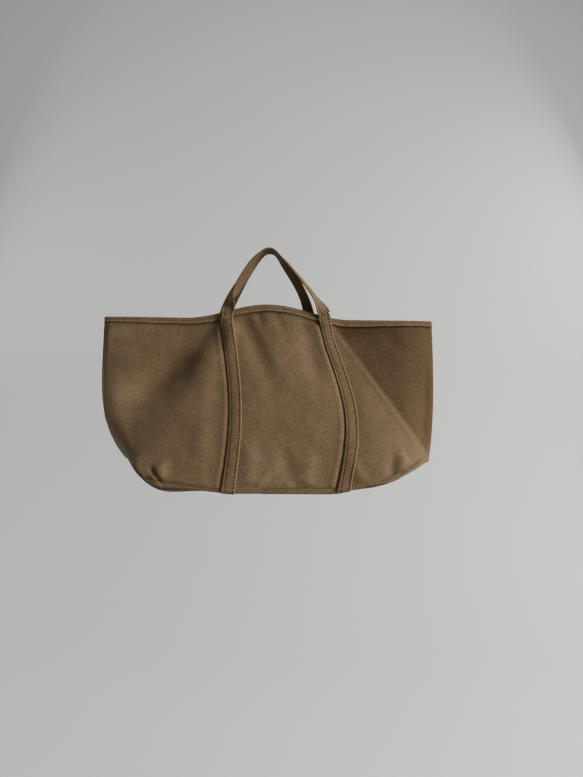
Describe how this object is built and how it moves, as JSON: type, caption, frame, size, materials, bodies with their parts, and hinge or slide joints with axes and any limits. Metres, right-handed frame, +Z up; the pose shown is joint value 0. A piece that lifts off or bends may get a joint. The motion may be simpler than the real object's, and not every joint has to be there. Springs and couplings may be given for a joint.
{
  "type": "tote bag",
  "caption": "Wide unlined canvas tote bag with a boxed bottom, folded rim hem, sewn straps and twisted handle loops that swing, stored hanging from its handles.",
  "frame": {"origin": "where the undersides of the two handle loops rest on a rod or peg, midway between the loops", "axes": "+X along the mouth to the right as seen from the front, -Y out of the front panel, +Z up"},
  "size_m": [0.56, 0.1587, 0.4067],
  "materials": {
    "canvas": "washed matt plain-weave canvas",
    "strap": "folded and stitched canvas strap",
    "seam_tape": "plain cotton tape"
  },
  "bodies": {
    "bag": {"front_panel": "canvas", "back_panel": "canvas", "bottom_panel": "canvas", "front_hem": "canvas", "back_hem": "canvas", "bottom_seam_tape": "seam_tape", "left_seam_tape": "seam_tape", "right_seam_tape": "seam_tape", "front_left_strap": "strap", "front_right_strap": "strap", "back_left_strap": "strap", "back_right_strap": "strap"},
    "front_loop": {"front_handle": "strap"},
    "back_loop": {"back_handle": "strap"}
  },
  "joints": [
    {"name": "front_handle_swing", "type": "hinge", "parent": "bag", "child": "front_loop", "pos_m": [0, -0.0212, -0.107], "axis": [1, 0, 0], "range_deg": [0, 140]},
    {"name": "back_handle_swing", "type": "hinge", "parent": "bag", "child": "back_loop", "pos_m": [0, 0.0212, -0.107], "axis": [-1, 0, 0], "range_deg": [0, 140]}
  ]
}
